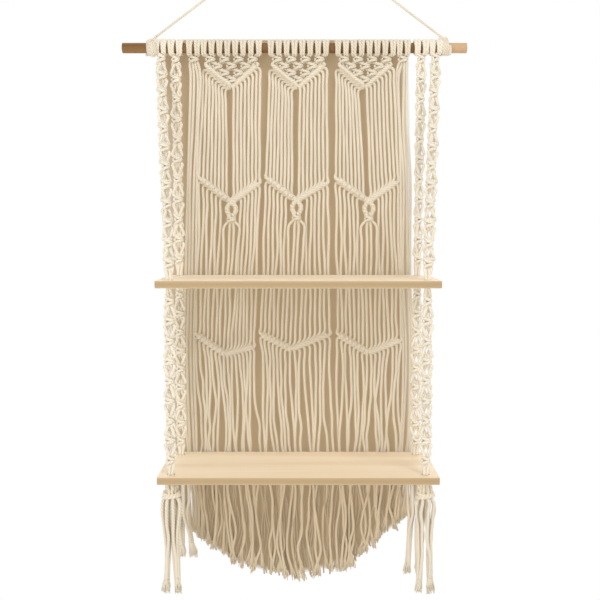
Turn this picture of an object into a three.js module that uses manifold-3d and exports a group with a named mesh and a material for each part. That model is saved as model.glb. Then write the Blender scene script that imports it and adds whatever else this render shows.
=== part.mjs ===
// Macrame wall shelf: a wooden dowel with a knotted cotton curtain in three sections, and two boards
// carried by four knotted side ropes. It hangs by a cord from a nail.
// Millimetres. +X right, +Y towards the wall, +Z up. The origin is the underside of the hanging cord
// where it lies on the nail.
import * as THREE from 'three';
import { mergeVertices } from 'three/addons/utils/BufferGeometryUtils.js';
import Module from 'manifold-3d';

const wasm = await Module();
wasm.setup();

// Dowel
const dowelLength = 440;
const dowelRadius = 6.5;
const dowelMiddleX = -5;
const dowelZ = -146;

// Boards
const boardWidth = 334;
const boardDepth = 130;
const boardThickness = 9;
const boardBackY = -6;
const upperBoardTop = -436;
const lowerBoardTop = -668.5;
const holeX = 152;
const holeRadius = 4.8;
const frontHoleY = -121;
const backHoleY = -21;

// Cotton
const clearance = 0.3;
const strandRadius = 2.3;
const curtainY = 2;
const loopPitch = 10.4;
const loopHalfWidth = 3.6;
const sleeveSides = 8;
const sleeveRadius = (dowelRadius + clearance) / Math.cos(Math.PI / sleeveSides);
const loopRadius = 10.6;
const grooveRadius = 8.6;
const strandPitch = loopPitch / 2;
const knotY = 1.2;
const knotHalfDepth = 5;
const squareKnotHeight = 9.2;
const squareKnotHalfWidth = 7.8;
const squareKnotRidge = 4;
const squareKnotBackHalfWidth = 5;
const squareKnotSideY = -1.6;
const knotRows = 4;
const firstKnotDrop = 12.5;
const knotRowPitch = 8.6;
const barRidges = 8;
const firstBarHeight = 8;
const lowerBarHeight = 8.6;
const firstBarHalfWidth = 39;
const firstBarTopDrop = 11.2;
const firstBarDrop = 46;
const grooveShare = 0.6;
const backShare = 0.8;

// The round knot that hangs at the point of the second V
const roundKnot = { radius: 5, thickness: 2.6, stretch: 1.7, drop: 13, forward: 1.5 };

// Ropes: flat knotted bands, drawn into a round bundle where they pass through a board
const ropeRepeat = 25;
const ropeKnot = { across: 8.2, deep: 4.8 };
const ropeWaist = { across: 6.6, deep: 2.8 };
const ropeBundle = { across: 4.4, deep: 4.4 };
const ropeSides = 6;
const ropeStartZ = dowelZ - 8.5;
const ropeStart = { across: 7.4, deep: 3.4 };
const ropeEntry = 3.2;
const ropeGather = 9;

// Tassels under the lower board
const frontTassel = 137;
const tasselStrands = 8;
const tasselSpread = [4.8, 7.2, 8.4];
const tasselRootDrop = 16;
const tasselHead = [
  { drop: 0, across: 7.2, deep: 6 },
  { drop: 6, across: 7.6, deep: 6.4 },
  { drop: 8, across: 12.2, deep: 9 },
  { drop: 15, across: 12.6, deep: 9.4 },
  { drop: 19, across: 8.4, deep: 6 },
];

// Where the middle of each group of loops sits on the dowel, from the middle of the row
const frontRopeX = 174;
const frontRopeLoopPitch = 9;
const backRopeX = 156;
const sideStrandsX = 135.2;
const sideStrandPitch = 4.2;
const sectionX = 83.2;
const sectionStrands = 16;

// Each section's bars, measured on the real curtain: left end, point and right end of each V
const sections = [
  {
    name: 'section_left',
    middle: -sectionX,
    second: { left: -131, tip: -86.5, right: -48, leftZ: -308, tipZ: -342, rightZ: -315 },
    third: { left: -137, tip: -95.5, right: -56, leftZ: -511, tipZ: -540, rightZ: -529 },
    fringe: { left: -128, right: -45 },
  },
  {
    name: 'section_middle',
    middle: 0,
    second: { left: -44, tip: -2.4, right: 40, leftZ: -308, tipZ: -340, rightZ: -315 },
    third: { left: -52, tip: -8.4, right: 44, leftZ: -511, tipZ: -533, rightZ: -512 },
    fringe: { left: -41, right: 44 },
  },
  {
    name: 'section_right',
    middle: sectionX,
    second: { left: 46, tip: 91, right: 131, leftZ: -309, tipZ: -341, rightZ: -313 },
    third: { left: 49, tip: 92.5, right: 137, leftZ: -511, tipZ: -538, rightZ: -520 },
    fringe: { left: 48, right: 132 },
  },
];

// The way the loose strands at each side hang, out from the middle
const sideStrandsRoute = [
  { out: 135.2, z: -155 },
  { out: 136.8, z: -240 },
  { out: 140.8, z: -310 },
  { out: 144, z: -430 },
  { out: 147.5, z: -545 },
  { out: 144, z: -650 },
];
const sideStrandsEnd = 140;

// The cut edge of the fringe, from left to right
const fringeEdge = [
  { x: -150, z: -768 },
  { x: -120, z: -798 },
  { x: -80, z: -828 },
  { x: -40, z: -842 },
  { x: 10, z: -847 },
  { x: 60, z: -838 },
  { x: 100, z: -800 },
  { x: 150, z: -752 },
];

// The hanging cord's centre line in the plane of the dowel, left to right: x and z
const hangingCordRadius = 1.5;
const hangingCordRoute = [
  [-181.5, -131.3],
  [-165, -119],
  [-145, -104.2],
  [-120, -85.7],
  [-95, -67.2],
  [-70, -48.7],
  [-45, -30.1],
  [-20, -11.6],
  [-4.2, 0.1],
  [-2.1, 1.2],
  [0, 1.5],
  [2.1, 1.2],
  [4.2, 0.1],
  [20, -11.6],
  [45, -30.1],
  [70, -48.7],
  [95, -67.2],
  [120, -85.7],
  [145, -104.2],
  [165, -119],
  [181.5, -131.3],
];

// The knot at each end of the hanging cord, along the cord from the knot's middle
const tieX = 187.9;
const tieKnotReach = 6;
const tieKnot = [
  { along: -4.4, size: 1.5 },
  { along: -1.8, size: 3.2 },
  { along: 2, size: 4 },
  { along: 4.6, size: 2.2 },
];

const cotton = new THREE.MeshStandardMaterial({ color: 0xeadbc0, roughness: 0.95, metalness: 0 });
const birch = new THREE.MeshStandardMaterial({ color: 0xdcc096, roughness: 0.6, metalness: 0 });
const darkWood = new THREE.MeshStandardMaterial({ color: 0xa8794c, roughness: 0.55, metalness: 0 });

function mix(a, b, share) {
  return a + (b - a) * share;
}

// A closed body through a row of rings, each with its centre and two half sizes. A hanging body's
// rings lie level, from the top down. A lying body's rings stand upright, from left to right.
function through(rings, sides, lying = false) {
  const last = rings.length - 1;
  const geometry = new THREE.CylinderGeometry(1, 1, last, sides, last);
  const position = geometry.attributes.position;
  for (let i = 0; i < position.count; i += 1) {
    const ring = rings[Math.round(last / 2 - position.getY(i))];
    const across = position.getX(i) * ring.across;
    const y = ring.y - position.getZ(i) * ring.deep;
    if (lying) {
      position.setXYZ(i, ring.x, y, ring.z + across);
    } else {
      position.setXYZ(i, ring.x + across, y, ring.z);
    }
  }
  return geometry;
}

function toManifold(geometry) {
  const plain = geometry.clone();
  plain.deleteAttribute('normal');
  plain.deleteAttribute('uv');
  const merged = mergeVertices(plain, 1e-4);
  return new wasm.Manifold(new wasm.Mesh({
    numProp: 3,
    vertProperties: Float32Array.from(merged.attributes.position.array),
    triVerts: Uint32Array.from(merged.index.array),
  }));
}

function fused(geometries) {
  const whole = wasm.Manifold.union(geometries.map(toManifold)).simplify(0.1);
  const joined = whole.getMesh();
  const geometry = new THREE.BufferGeometry();
  geometry.setAttribute('position', new THREE.BufferAttribute(joined.vertProperties, 3));
  geometry.setIndex(new THREE.BufferAttribute(joined.triVerts, 1));
  geometry.computeVertexNormals();
  return geometry;
}

// Cords looped over the dowel side by side: a sleeve around it with a ridge for each looped cord
function loops(middle, count, pitch) {
  const first = middle - ((count - 1) * pitch) / 2;
  const start = first - loopHalfWidth;
  const end = first + (count - 1) * pitch + loopHalfWidth;
  const profile = [new THREE.Vector2(sleeveRadius, start), new THREE.Vector2(grooveRadius, start)];
  for (let i = 0; i < count; i += 1) {
    const x = first + i * pitch;
    profile.push(new THREE.Vector2(loopRadius, x));
    if (i < count - 1) {
      profile.push(new THREE.Vector2(grooveRadius, x + pitch / 2));
    }
  }
  profile.push(new THREE.Vector2(grooveRadius, end));
  profile.push(new THREE.Vector2(sleeveRadius, end));
  profile.push(new THREE.Vector2(sleeveRadius, start));
  const sleeve = new THREE.LatheGeometry(profile, sleeveSides);
  sleeve.rotateY(Math.PI / sleeveSides);
  sleeve.rotateZ(-Math.PI / 2);
  sleeve.translate(0, 0, dowelZ);
  return sleeve;
}

// A knot or bar with upright ridges down its front. The outline is its plan, drawn up to a height, so
// that strands enter it through plain faces.
function ridged(outline, height, heightAt) {
  const geometry = new THREE.ExtrudeGeometry(new THREE.Shape(outline), {
    depth: height,
    steps: 1,
    bevelEnabled: false,
  });
  const position = geometry.attributes.position;
  for (let i = 0; i < position.count; i += 1) {
    const x = position.getX(i);
    position.setZ(i, heightAt(x) + position.getZ(i) - height / 2);
  }
  return geometry;
}

// A square knot: two ridges where its working strands cross
function squareKnot(x, z) {
  const outline = [
    new THREE.Vector2(x - squareKnotHalfWidth, knotY + squareKnotSideY),
    new THREE.Vector2(x - squareKnotRidge, knotY - knotHalfDepth),
    new THREE.Vector2(x, knotY - knotHalfDepth * grooveShare),
    new THREE.Vector2(x + squareKnotRidge, knotY - knotHalfDepth),
    new THREE.Vector2(x + squareKnotHalfWidth, knotY + squareKnotSideY),
    new THREE.Vector2(x + squareKnotBackHalfWidth, knotY + knotHalfDepth * backShare),
    new THREE.Vector2(x - squareKnotBackHalfWidth, knotY + knotHalfDepth * backShare),
  ];
  return ridged(outline, squareKnotHeight, () => z);
}

// A V-shaped bar of hitches, with a ridge for each pair of them
function hitchBar(v, height) {
  const outline = [];
  for (let i = 0; i <= 2 * barRidges; i += 1) {
    const share = i / barRidges;
    const x = share <= 1 ? mix(v.left, v.tip, share) : mix(v.tip, v.right, share - 1);
    const out = i % 2 === 1 ? knotHalfDepth : knotHalfDepth * grooveShare;
    outline.push(new THREE.Vector2(x, knotY - out));
  }
  for (const x of [v.right, v.tip, v.left]) {
    outline.push(new THREE.Vector2(x, knotY + knotHalfDepth * backShare));
  }
  return ridged(outline, height, (x) => heightOnBar(v, x));
}

function heightOnBar(v, x) {
  if (x <= v.tip) {
    return v.leftZ + ((v.tipZ - v.leftZ) * (x - v.left)) / (v.tip - v.left);
  }
  return v.tipZ + ((v.rightZ - v.tipZ) * (x - v.tip)) / (v.right - v.tip);
}

function fringeHeight(x) {
  const next = fringeEdge.findIndex((point) => point.x > x);
  const a = fringeEdge[next - 1];
  const b = fringeEdge[next];
  return a.z + ((b.z - a.z) * (x - a.x)) / (b.x - a.x);
}

// A strand hanging through a row of points, its path a little wavy between them
function strand(points, index) {
  const rings = points.map(([x, z], i) => ({
    x: x + 0.5 * Math.sin(2.3 * index + 2.1 * i),
    y: curtainY + 0.7 * Math.sin(1.7 * index + 1.3 * i),
    z,
    across: strandRadius,
    deep: strandRadius,
  }));
  return through(rings, 3);
}

function midway(a, b, share) {
  return [a[0] + (b[0] - a[0]) * share, a[1] + (b[1] - a[1]) * share];
}

function section({ middle, second, third, fringe }) {
  const first = {
    left: middle - firstBarHalfWidth,
    tip: middle,
    right: middle + firstBarHalfWidth,
    leftZ: dowelZ - firstBarTopDrop,
    tipZ: dowelZ - firstBarDrop,
    rightZ: dowelZ - firstBarTopDrop,
  };
  const pieces = [
    loops(middle, 8, loopPitch),
    hitchBar(first, firstBarHeight),
    hitchBar(second, lowerBarHeight),
    hitchBar(third, lowerBarHeight),
  ];

  // Alternating square knots in rows of four, three, two and one
  for (let row = 0; row < knotRows; row += 1) {
    const knots = knotRows - row;
    for (let i = 0; i < knots; i += 1) {
      const x = middle + (i - (knots - 1) / 2) * 4 * strandPitch;
      pieces.push(squareKnot(x, dowelZ - firstKnotDrop - row * knotRowPitch));
    }
  }

  const round = new THREE.TorusGeometry(roundKnot.radius, roundKnot.thickness, 4, 7);
  round.scale(1, roundKnot.stretch, 1);
  round.rotateX(Math.PI / 2);
  round.translate(second.tip, curtainY - roundKnot.forward, second.tipZ - roundKnot.drop);
  pieces.push(round);

  for (let i = 0; i < sectionStrands; i += 1) {
    const share = (i + 0.5) / sectionStrands;
    const topX = first.left + (first.right - first.left) * share;
    const secondX = second.left + (second.right - second.left) * share;
    const thirdX = third.left + (third.right - third.left) * share;
    const endX = fringe.left + (fringe.right - fringe.left) * share;
    const top = [topX, heightOnBar(first, topX)];
    const onSecond = [secondX, heightOnBar(second, secondX)];
    const onThird = [thirdX, heightOnBar(third, thirdX)];
    const end = [endX, fringeHeight(endX)];
    const points = [
      top,
      midway(top, onSecond, 0.5),
      onSecond,
      midway(onSecond, onThird, 0.5),
      onThird,
      midway(onThird, end, 0.55),
      end,
    ];
    pieces.push(strand(points, i + middle));
  }
  return fused(pieces);
}

// Four loose strands beside the sections, tied once under the dowel
function sideStrands(side) {
  const middle = side * sideStrandsX;
  const pieces = [loops(middle, 2, loopPitch), squareKnot(middle, dowelZ - firstKnotDrop)];
  for (let i = 0; i < 4; i += 1) {
    const offset = (i - 1.5) * sideStrandPitch;
    const points = sideStrandsRoute.map(({ out, z }) => [side * out + offset, z]);
    const end = side * sideStrandsEnd + offset;
    points.push([end, fringeHeight(end)]);
    pieces.push(strand(points, i + middle));
  }
  return fused(pieces);
}

// One stretch of knotted rope between two heights: knots and waists in turn
function knottedStretch(from, to) {
  const repeats = Math.round((from.z - to.z) / ropeRepeat);
  const rings = [];
  for (let i = 0; i <= 2 * repeats; i += 1) {
    const share = i / (2 * repeats);
    const size = i % 2 === 0 ? ropeKnot : ropeWaist;
    rings.push({
      x: mix(from.x, to.x, share),
      y: mix(from.y, to.y, share),
      z: mix(from.z, to.z, share),
      ...size,
    });
  }
  return rings;
}

// A side rope: looped on the dowel, through the upper board, knotted under it and down through the
// lower board to its tassel
function rope(side, topX, pitch, holeY) {
  const x = side * holeX;
  const upperBottom = upperBoardTop - boardThickness;
  const lowerBottom = lowerBoardTop - boardThickness;
  const top = { x: side * topX, y: curtainY, z: ropeStartZ - 6 };
  const lead = (ropeGather + ropeEntry) / (ropeStartZ - upperBoardTop);
  const aboveUpper = {
    x: mix(x, side * topX, lead),
    y: mix(holeY, curtainY, lead),
    z: upperBoardTop + ropeGather + ropeEntry,
  };
  const rings = [
    { x: side * topX, y: curtainY, z: ropeStartZ, ...ropeStart },
    ...knottedStretch(top, aboveUpper),
    { x, y: holeY, z: upperBoardTop + ropeEntry, ...ropeBundle },
    { x, y: holeY, z: upperBottom - clearance, ...ropeBundle },
    ...knottedStretch(
      { x, y: holeY, z: upperBottom - clearance - 1 },
      { x, y: holeY, z: lowerBoardTop + ropeGather + ropeEntry },
    ),
    { x, y: holeY, z: lowerBoardTop + ropeEntry, ...ropeBundle },
    { x, y: holeY, z: lowerBottom, ...ropeBundle },
  ];
  return fused([loops(side * topX, 2, pitch), through(rings, ropeSides)]);
}

// A tassel: an overhand knot drawn up under the lower board, and its loose strands
function tassel(side, y, length) {
  const x = side * holeX;
  const top = lowerBoardTop - boardThickness - clearance;
  const head = tasselHead.map(({ drop, across, deep }) => ({ x, y, z: top - drop, across, deep }));
  const pieces = [through(head, 8)];
  for (let i = 0; i < tasselStrands; i += 1) {
    const angle = (2 * Math.PI * i) / tasselStrands;
    const out = { x: Math.cos(angle), y: Math.sin(angle) };
    const rings = tasselSpread.map((spread, level) => ({
      x: x + out.x * spread * 1.25 + 0.6 * Math.sin(2 * i + level),
      y: y + out.y * spread,
      z: mix(top - tasselRootDrop, top - length + 7 * Math.abs(Math.sin(2.4 * i)), level / 2),
      across: strandRadius,
      deep: strandRadius,
    }));
    pieces.push(through(rings, 3));
  }
  return fused(pieces);
}

function board(top) {
  const outline = new THREE.Shape();
  outline.moveTo(-boardWidth / 2, boardBackY - boardDepth);
  outline.lineTo(boardWidth / 2, boardBackY - boardDepth);
  outline.lineTo(boardWidth / 2, boardBackY);
  outline.lineTo(-boardWidth / 2, boardBackY);
  outline.closePath();
  for (const x of [-holeX, holeX]) {
    for (const y of [frontHoleY, backHoleY]) {
      const hole = new THREE.Path();
      hole.absarc(x, y, holeRadius, 0, 2 * Math.PI, true);
      outline.holes.push(hole);
    }
  }
  const geometry = new THREE.ExtrudeGeometry(outline, {
    depth: boardThickness,
    bevelEnabled: false,
    curveSegments: 8,
  });
  geometry.translate(0, 0, top - boardThickness);
  return geometry;
}

// The cord's end bound round the dowel, with the knot that its leg leaves from
function tie(side) {
  const [first, next] = hangingCordRoute;
  const rise = new THREE.Vector2(next[0] - first[0], next[1] - first[1]).normalize();
  const slope = rise.angle();
  const rings = tieKnot.map(({ along, size }) => ({ x: along, y: 0, z: 0, across: size, deep: size }));
  rings.push({ x: tieKnotReach - clearance, y: 0, z: 0, across: 1.7, deep: 1.7 });
  const knot = through(rings, 8, true);
  knot.rotateY(side < 0 ? -slope : slope - Math.PI);
  const x = first[0] - tieKnotReach * rise.x;
  const z = first[1] - tieKnotReach * rise.y;
  knot.translate(-side * x, 0, z);
  return fused([loops(side * tieX, 1, loopPitch), knot]);
}

function hangingCord() {
  const points = hangingCordRoute.map(([x, z]) => new THREE.Vector3(x, 0, z));
  const route = new THREE.CatmullRomCurve3(points, false, 'centripetal');
  const outline = new THREE.Shape();
  outline.absarc(0, 0, hangingCordRadius, 0, 2 * Math.PI, false);
  return new THREE.ExtrudeGeometry(outline, {
    extrudePath: route,
    steps: 54,
    curveSegments: 4,
    bevelEnabled: false,
  });
}

function dowel() {
  const geometry = new THREE.CylinderGeometry(dowelRadius, dowelRadius, dowelLength, 24);
  geometry.rotateZ(Math.PI / 2);
  geometry.translate(dowelMiddleX, 0, dowelZ);
  return geometry;
}

const shelf = new THREE.Group();

function add(name, geometry, material) {
  const mesh = new THREE.Mesh(geometry, material);
  mesh.name = name;
  shelf.add(mesh);
}

add('dowel', dowel(), darkWood);
add('upper_board', board(upperBoardTop), birch);
add('lower_board', board(lowerBoardTop), birch);
for (const row of sections) {
  add(row.name, section(row), cotton);
}
const sides = [
  { name: 'left', side: -1, backTassel: 128 },
  { name: 'right', side: 1, backTassel: 150 },
];
for (const { name, side, backTassel } of sides) {
  add(`side_strands_${name}`, sideStrands(side), cotton);
  add(`front_rope_${name}`, rope(side, frontRopeX, frontRopeLoopPitch, frontHoleY), cotton);
  add(`back_rope_${name}`, rope(side, backRopeX, loopPitch, backHoleY), cotton);
  add(`front_tassel_${name}`, tassel(side, frontHoleY, frontTassel), cotton);
  add(`back_tassel_${name}`, tassel(side, backHoleY, backTassel), cotton);
  add(`tie_${name}`, tie(side), cotton);
}
add('hanging_cord', hangingCord(), cotton);

export default shelf;
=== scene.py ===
import math
import random

import bmesh
import bpy
import numpy as np
from mathutils import Matrix, Vector


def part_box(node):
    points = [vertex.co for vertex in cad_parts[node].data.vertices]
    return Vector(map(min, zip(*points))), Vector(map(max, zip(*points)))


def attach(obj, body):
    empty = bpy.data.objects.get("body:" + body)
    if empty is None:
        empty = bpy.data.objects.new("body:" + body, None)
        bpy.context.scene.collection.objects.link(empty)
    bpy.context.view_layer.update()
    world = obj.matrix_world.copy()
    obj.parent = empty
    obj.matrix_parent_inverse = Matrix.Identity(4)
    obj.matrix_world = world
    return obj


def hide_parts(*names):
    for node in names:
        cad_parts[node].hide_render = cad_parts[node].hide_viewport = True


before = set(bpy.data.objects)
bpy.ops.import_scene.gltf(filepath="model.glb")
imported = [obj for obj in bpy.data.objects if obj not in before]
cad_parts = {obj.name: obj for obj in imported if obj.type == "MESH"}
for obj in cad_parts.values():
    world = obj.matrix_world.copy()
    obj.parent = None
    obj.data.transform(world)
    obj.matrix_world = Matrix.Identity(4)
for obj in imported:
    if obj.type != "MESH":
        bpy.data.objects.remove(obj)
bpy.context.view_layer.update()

# Camera. The photo was taken from in front, from a little above the upper board, looking slightly down.
# The focal length is given for a picture 600 pixels wide.
PICTURE_WIDTH = 600
FOCAL_PIXELS = 954
SENSOR = 36.0
CAMERA_PLACE = (0.002, -1.241, -0.372)
LOOKS_DOWN = 4.47
camera_data = bpy.data.cameras.new("camera")
camera_data.sensor_width = SENSOR
camera_data.lens = SENSOR * FOCAL_PIXELS / PICTURE_WIDTH
camera_data.clip_start = 0.05
camera_data.clip_end = 20
camera = bpy.data.objects.new("camera", camera_data)
camera.location = CAMERA_PLACE
camera.rotation_euler = (math.radians(90 - LOOKS_DOWN), 0, 0)
bpy.context.scene.collection.objects.link(camera)
bpy.context.scene.camera = camera


# Hanging cord. A single twisted cotton cord, 3 mm thick, runs from the tie at one end of the dowel over
# the nail to the other end. It is drawn tight by the shelf's weight, so both legs are straight.
MM = 0.001
DOWEL_Z = -0.146
CORD_RADIUS = 0.0015
HALF_CORD = [(0, 1.5), (2.1, 1.2), (4.2, 0.1), (20, -11.6), (45, -30.1), (70, -48.7), (95, -67.2),
             (120, -85.7), (145, -104.2), (165, -119), (181.5, -131.3)]
STRAND_RADIUS = 0.00175
STEP = 0.0024
FINE_PER_STEP = 1.5
PLIES = 3
LAY_LENGTH = 0.0115
PLY_RELIEF = 0.0006
FUZZ_SCALE = 1800.0
PATCH_SCALE = 28.0
COTTON_PALE = (0.86, 0.805, 0.695)
COTTON_GROOVE_SHADE = (0.71, 0.64, 0.525)
COTTON_ROUGHNESS = 0.92
COTTON_SHEEN = 0.35
SHEEN_ROUGHNESS = 0.5
SPECULAR = 0.25
FUZZ_SHARE = 0.35
PLY_BUMP = 0.45
PATCH_SHADES = (0.9, 1.06)
UNDER_BOARD_SHADE_TINT = (0.87, 0.79, 0.67)
UNDER_BOARD_SHADE_SHARE = 0.8
UNDER_BOARD_SHADE_FADE = 0.03
NOWHERE = -10.0


def smooth_path(points, step=STEP):
    """Points at even steps on a centripetal curve through the given points."""
    given = [Vector(p) for p in points]
    padded = [2 * given[0] - given[1], *given, 2 * given[-1] - given[-2]]
    fine = [given[0]]
    for a, b, c, d in zip(padded, padded[1:], padded[2:], padded[3:]):
        count = max(2, math.ceil((c - b).length / step * FINE_PER_STEP))
        knots = [0.0]
        for start, end in ((a, b), (b, c), (c, d)):
            knots.append(knots[-1] + max((end - start).length, 1e-6) ** 0.5)
        for i in range(1, count + 1):
            t = knots[1] + (knots[2] - knots[1]) * i / count
            ab = a.lerp(b, (t - knots[0]) / (knots[1] - knots[0]))
            bc = b.lerp(c, (t - knots[1]) / (knots[2] - knots[1]))
            cd = c.lerp(d, (t - knots[2]) / (knots[3] - knots[2]))
            abc = ab.lerp(bc, (t - knots[0]) / (knots[2] - knots[0]))
            bcd = bc.lerp(cd, (t - knots[1]) / (knots[3] - knots[1]))
            fine.append(abc.lerp(bcd, (t - knots[1]) / (knots[2] - knots[1])))
    array = np.array(fine)
    along = np.concatenate([[0], np.cumsum(np.linalg.norm(np.diff(array, axis=0), axis=1))])
    wanted = np.linspace(0, along[-1], max(3, round(along[-1] / step) + 1))
    return np.column_stack([np.interp(wanted, along, column) for column in array.T])


def strand(points, radius=STRAND_RADIUS, step=STEP):
    """A cord at even steps and its radius at each step. A point may bring its own radius, as its fourth
    number."""
    path = smooth_path([(*p, radius) if len(p) == 3 else p for p in points], step)
    return path[:, :3], path[:, 3]


def lay_cords(name, cords, radius=STRAND_RADIUS, roundness=2):
    """One mesh of round cords. A cord is its points, or its points and a radius for each of them. The
    attribute "lay" holds each point's angle around its cord, as cosine and sine, and its way along."""
    curve = bpy.data.curves.new(name, "CURVE")
    curve.dimensions = "3D"
    curve.bevel_depth = radius
    curve.bevel_resolution = roundness
    lay = []
    sides = 4 + 2 * roundness
    angles = np.arange(sides) * 2 * math.pi / sides
    for cord in cords:
        points, thickness = cord if isinstance(cord, tuple) else (cord, None)
        spline = curve.splines.new("POLY")
        spline.points.add(len(points) - 1)
        spline.points.foreach_set("co", np.column_stack([points, np.ones(len(points))]).ravel())
        if thickness is not None:
            spline.points.foreach_set("radius", np.asarray(thickness) / radius)
        along = np.concatenate([[0], np.cumsum(np.linalg.norm(np.diff(points, axis=0), axis=1))])
        lay.append(np.column_stack([
            np.tile(np.cos(angles), len(points)),
            np.tile(np.sin(angles), len(points)),
            np.repeat(along, sides),
        ]))
    holder = bpy.data.objects.new(name + "_path", curve)
    bpy.context.scene.collection.objects.link(holder)
    mesh = bpy.data.meshes.new_from_object(holder.evaluated_get(bpy.context.evaluated_depsgraph_get()))
    bpy.data.objects.remove(holder)
    bpy.data.curves.remove(curve)
    rows = np.concatenate(lay)
    if len(rows) != len(mesh.vertices):
        raise RuntimeError(f"{name}: {len(rows)} points laid, {len(mesh.vertices)} in the mesh")
    mesh.attributes.new("lay", "FLOAT_VECTOR", "POINT").data.foreach_set("vector", rows.ravel())
    mesh.name = name
    work = bmesh.new()
    work.from_mesh(mesh)
    bmesh.ops.holes_fill(work, edges=[e for e in work.edges if e.is_boundary], sides=sides)
    bmesh.ops.recalc_face_normals(work, faces=work.faces)
    for face in work.faces:
        face.smooth = True
    work.to_mesh(mesh)
    work.free()
    piece = bpy.data.objects.new(name, mesh)
    bpy.context.scene.collection.objects.link(piece)
    return piece


def node(tree, kind, inputs=None, **settings):
    """A shader node. Each input is a value, or another node's output socket."""
    made = tree.nodes.new(kind)
    for key, value in settings.items():
        setattr(made, key, value)
    for key, value in (inputs or {}).items():
        if isinstance(value, bpy.types.NodeSocket):
            tree.links.new(value, made.inputs[key])
        else:
            made.inputs[key].default_value = value
    return made


def maths(tree, operation, *values):
    """The result of a sum on one to three values."""
    return node(tree, "ShaderNodeMath", dict(enumerate(values)), operation=operation).outputs[0]


def ramp(tree, value, low, high, result_low=0.0, result_high=1.0):
    """A value moved from one range to another, and held at both its ends."""
    made = node(tree, "ShaderNodeMapRange", {"Value": value, "From Min": low, "From Max": high,
                                             "To Min": result_low, "To Max": result_high})
    return made.outputs["Result"]


def mix(tree, factor, first, second):
    """Two colours mixed. Each is three numbers, or another node's output socket."""
    first, second = (c if isinstance(c, bpy.types.NodeSocket) else (*c, 1) for c in (first, second))
    made = node(tree, "ShaderNodeMix", {"Factor": factor, "A": first, "B": second}, data_type="RGBA")
    return made.outputs["Result"]


def noise(tree, place, scale, detail, distortion=0.0):
    made = node(tree, "ShaderNodeTexNoise",
                {"Vector": place, "Scale": scale, "Detail": detail, "Distortion": distortion})
    return made.outputs["Fac"]


def new_material(name, roughness, sheen=0.0):
    material = bpy.data.materials.new(name)
    material.use_nodes = True
    shader = material.node_tree.nodes["Principled BSDF"]
    shader.inputs["Roughness"].default_value = roughness
    shader.inputs["Sheen Weight"].default_value = sheen
    shader.inputs["Sheen Roughness"].default_value = SHEEN_ROUGHNESS
    shader.inputs["Specular IOR Level"].default_value = SPECULAR
    return material, material.node_tree, shader


def cotton_material(name, pale, deep, combed_below=NOWHERE):
    """Twisted cotton: three plies wound round each other, with painted shade in the grooves between them,
    a fine fuzz, and a colour that varies a little from place to place. Below one height it is painted darker
    and tan, as painted shade under the lower board."""
    material, tree, shader = new_material(name, COTTON_ROUGHNESS, COTTON_SHEEN)
    attribute = node(tree, "ShaderNodeAttribute", attribute_name="lay")
    lay = node(tree, "ShaderNodeSeparateXYZ", {0: attribute.outputs["Vector"]}).outputs
    around = maths(tree, "ARCTAN2", lay[1], lay[0])
    turns = maths(tree, "MULTIPLY", lay[2], 2 * math.pi / LAY_LENGTH * PLIES)
    wave = maths(tree, "SINE", maths(tree, "MULTIPLY_ADD", around, float(PLIES), turns))
    rounded = maths(tree, "POWER", maths(tree, "MULTIPLY_ADD", wave, 0.5, 0.5), 0.5)
    place = node(tree, "ShaderNodeTexCoord").outputs["Object"]
    fuzz = noise(tree, place, FUZZ_SCALE, 3.0)
    patches = noise(tree, place, PATCH_SCALE, 2.0)
    height = maths(tree, "MULTIPLY_ADD", fuzz, FUZZ_SHARE, rounded)
    bump = node(tree, "ShaderNodeBump", {"Height": height, "Strength": PLY_BUMP, "Distance": PLY_RELIEF})
    # The deep colour fills the grooves between the plies, as painted shade.
    shade = node(tree, "ShaderNodeVectorMath",
                 {0: mix(tree, rounded, deep, pale), "Scale": ramp(tree, patches, 0, 1, *PATCH_SHADES)},
                 operation="SCALE").outputs["Vector"]
    # Below the given height the colour is tinted darker and tan, as painted shade under the lower board.
    tan = node(tree, "ShaderNodeVectorMath", {0: shade, 1: UNDER_BOARD_SHADE_TINT}, operation="MULTIPLY")
    level = node(tree, "ShaderNodeSeparateXYZ", {0: place}).outputs[2]
    combed = ramp(tree, level, combed_below, combed_below - UNDER_BOARD_SHADE_FADE, 0.0, UNDER_BOARD_SHADE_SHARE)
    tree.links.new(mix(tree, combed, shade, tan.outputs["Vector"]), shader.inputs["Base Color"])
    tree.links.new(bump.outputs["Normal"], shader.inputs["Normal"])
    return material


def dress(piece, material, cad_node):
    """The piece gets its material, rides on the shelf and stands for the node named."""
    piece.data.materials.clear()
    piece.data.materials.append(material)
    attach(piece, "root")
    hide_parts(cad_node)


cotton = cotton_material("cotton", COTTON_PALE, COTTON_GROOVE_SHADE)
whole_cord = [(-x, z) for x, z in HALF_CORD[:0:-1]] + HALF_CORD
hanging_path = smooth_path([(x * MM, 0, z * MM) for x, z in whole_cord])
hanging = lay_cords("hanging_twine", [hanging_path], CORD_RADIUS)
dress(hanging, cotton, "hanging_cord")


# Dowel. A plain round rod of brown wood with softened ends, turned from one length, its colour paler
# towards its right end. Everything hangs from it.
DOWEL_RADIUS = 0.0065
DOWEL_ENDS = (-0.225, 0.215)
DOWEL_EASE = 0.0009
DOWEL_PALE = (0.30, 0.165, 0.068)
DOWEL_DEEP = (0.18, 0.092, 0.035)
DOWEL_GRAIN = 90.0
DOWEL_STRETCH = (0.05, 1.0, 1.0)
PALER_RIGHT_END = (0.60, 0.41, 0.25)
PALER_FROM, PALER_TO = 0.165, 0.195
WOOD_ROUGHNESS = 0.5
PORE_FINENESS = 9
GRAIN_LINES = (0.35, 0.68)
GRAIN_RELIEF = 0.0003
GRAIN_BUMP = 0.25
PORE_SHARE = 0.5
PORE_ROUGHNESS = (0.45, 0.65)


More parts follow.
